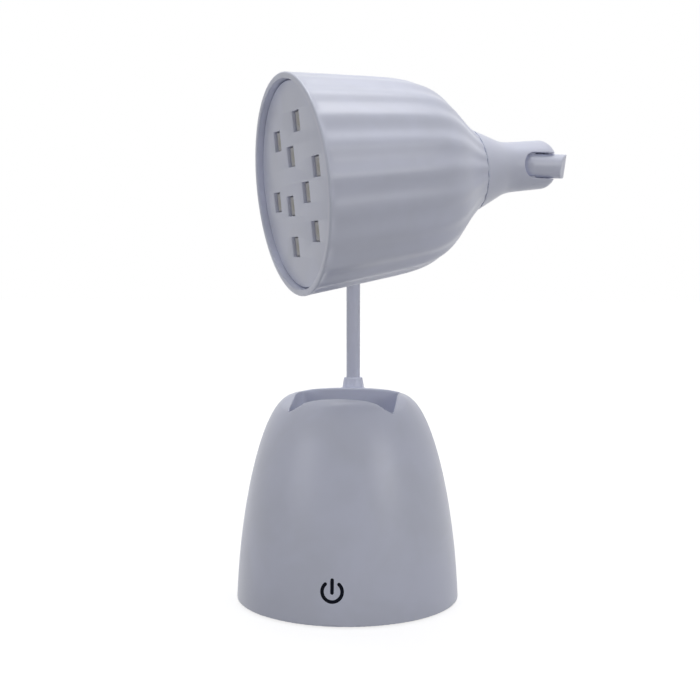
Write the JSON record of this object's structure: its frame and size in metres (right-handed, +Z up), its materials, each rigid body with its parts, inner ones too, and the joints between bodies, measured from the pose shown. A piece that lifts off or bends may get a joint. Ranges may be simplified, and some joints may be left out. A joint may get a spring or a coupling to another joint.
{
  "type": "gooseneck nail lamp",
  "caption": "Desk nail lamp: a domed base with a brush slot and touch mark, a bendable gooseneck, and a fluted bell head with square lamp windows on a swivel.",
  "frame": {"origin": "middle of the underside of the foot pad, on the table", "axes": "+Z up, -Y towards the front with the power mark, +X to the right as seen from the front, on the side the gooseneck leans out to"},
  "size_m": [0.1383, 0.1377, 0.2149],
  "materials": {
    "white_plastic": "satin-gloss moulded ABS, cool white",
    "inner_plastic": "moulded ABS, hidden inside",
    "dark_plastic": "moulded, dark",
    "mark_print": "printed, nearly black",
    "foot_rubber": "soft foam rubber",
    "steel": "zinc plated",
    "core_steel": "drawn wire and links",
    "cell": "shrink wrapped",
    "circuit_board": "solder mask",
    "lamp_board": "white solder mask on a metal core",
    "lamp_chip": "lamp chips in white frames",
    "wire": "insulated lead",
    "sleeve": "smooth satin sleeve",
    "friction_washer": "acetal"
  },
  "bodies": {
    "base": {"base_shell": "white_plastic", "power_mark": "mark_print", "base_floor": "inner_plastic", "foot_pad": "foot_rubber", "floor_screws": "steel", "ballast_plate": "steel", "ballast_screws": "steel", "battery_cradle": "dark_plastic", "battery_cell": "cell", "battery_leads": "wire", "main_board": "circuit_board", "board_parts": "dark_plastic", "usb_socket": "steel", "board_screws": "steel", "touch_board": "circuit_board", "touch_pad": "dark_plastic", "touch_lead": "wire", "lamp_lead": "wire", "lower_ferrule": "white_plastic", "anchor_washer": "steel", "anchor_nut": "steel", "core_foot": "core_steel", "sleeve_foot": "sleeve", "bend_sleeve_1": "sleeve"},
    "arm_1": {"core_1": "core_steel", "sleeve_1": "sleeve", "bend_sleeve_2": "sleeve"},
    "arm_2": {"core_2": "core_steel", "sleeve_2": "sleeve", "bend_sleeve_3": "sleeve"},
    "arm_3": {"core_3": "core_steel", "sleeve_3": "sleeve", "bend_sleeve_4": "sleeve"},
    "arm_4": {"core_4": "core_steel", "sleeve_4": "sleeve", "bend_sleeve_5": "sleeve"},
    "arm_5": {"core_5": "core_steel", "sleeve_5": "sleeve", "knuckle_arm": "white_plastic", "hinge_pins": "steel", "hinge_washers": "friction_washer"},
    "head": {"neck": "white_plastic", "neck_nut": "inner_plastic", "head_shade": "white_plastic", "face_plate": "white_plastic", "led_board": "lamp_board", "led_chips": "lamp_chip", "led_screws": "steel", "head_lead": "wire"}
  },
  "joints": [
    {"name": "stem_nod", "type": "hinge", "parent": "base", "child": "arm_1", "pos_m": [0, 0.0195, 0.1009], "axis": [1, 0, 0], "range_deg": [-20, 20], "deforming": ["bend_sleeve_1"]},
    {"name": "stem_lean", "type": "hinge", "parent": "arm_1", "child": "arm_2", "pos_m": [0, 0.0195, 0.1179], "axis": [0, 1, 0], "range_deg": [-20, 20], "deforming": ["bend_sleeve_2"]},
    {"name": "bend_lift", "type": "hinge", "parent": "arm_2", "child": "arm_3", "pos_m": [0.01101, 0.02113, 0.17177], "axis": [-0.1461, 0.9893, 0], "range_deg": [-20, 20], "deforming": ["bend_sleeve_3"]},
    {"name": "bend_swing", "type": "hinge", "parent": "arm_3", "child": "arm_4", "pos_m": [0.04635, 0.02634, 0.1829], "axis": [0, 0, 1], "range_deg": [-5, 20], "deforming": ["bend_sleeve_4"]},
    {"name": "tip_nod", "type": "hinge", "parent": "arm_4", "child": "arm_5", "pos_m": [0.06871, 0.02526, 0.1829], "axis": [0.4726, 0.8813, 0], "range_deg": [-15, 20], "deforming": ["bend_sleeve_5"]},
    {"name": "head_swing", "type": "hinge", "parent": "arm_5", "child": "head", "pos_m": [0.07597, -0.00792, 0.1829], "axis": [0, 0, 1], "range_deg": [-4, 80]}
  ]
}
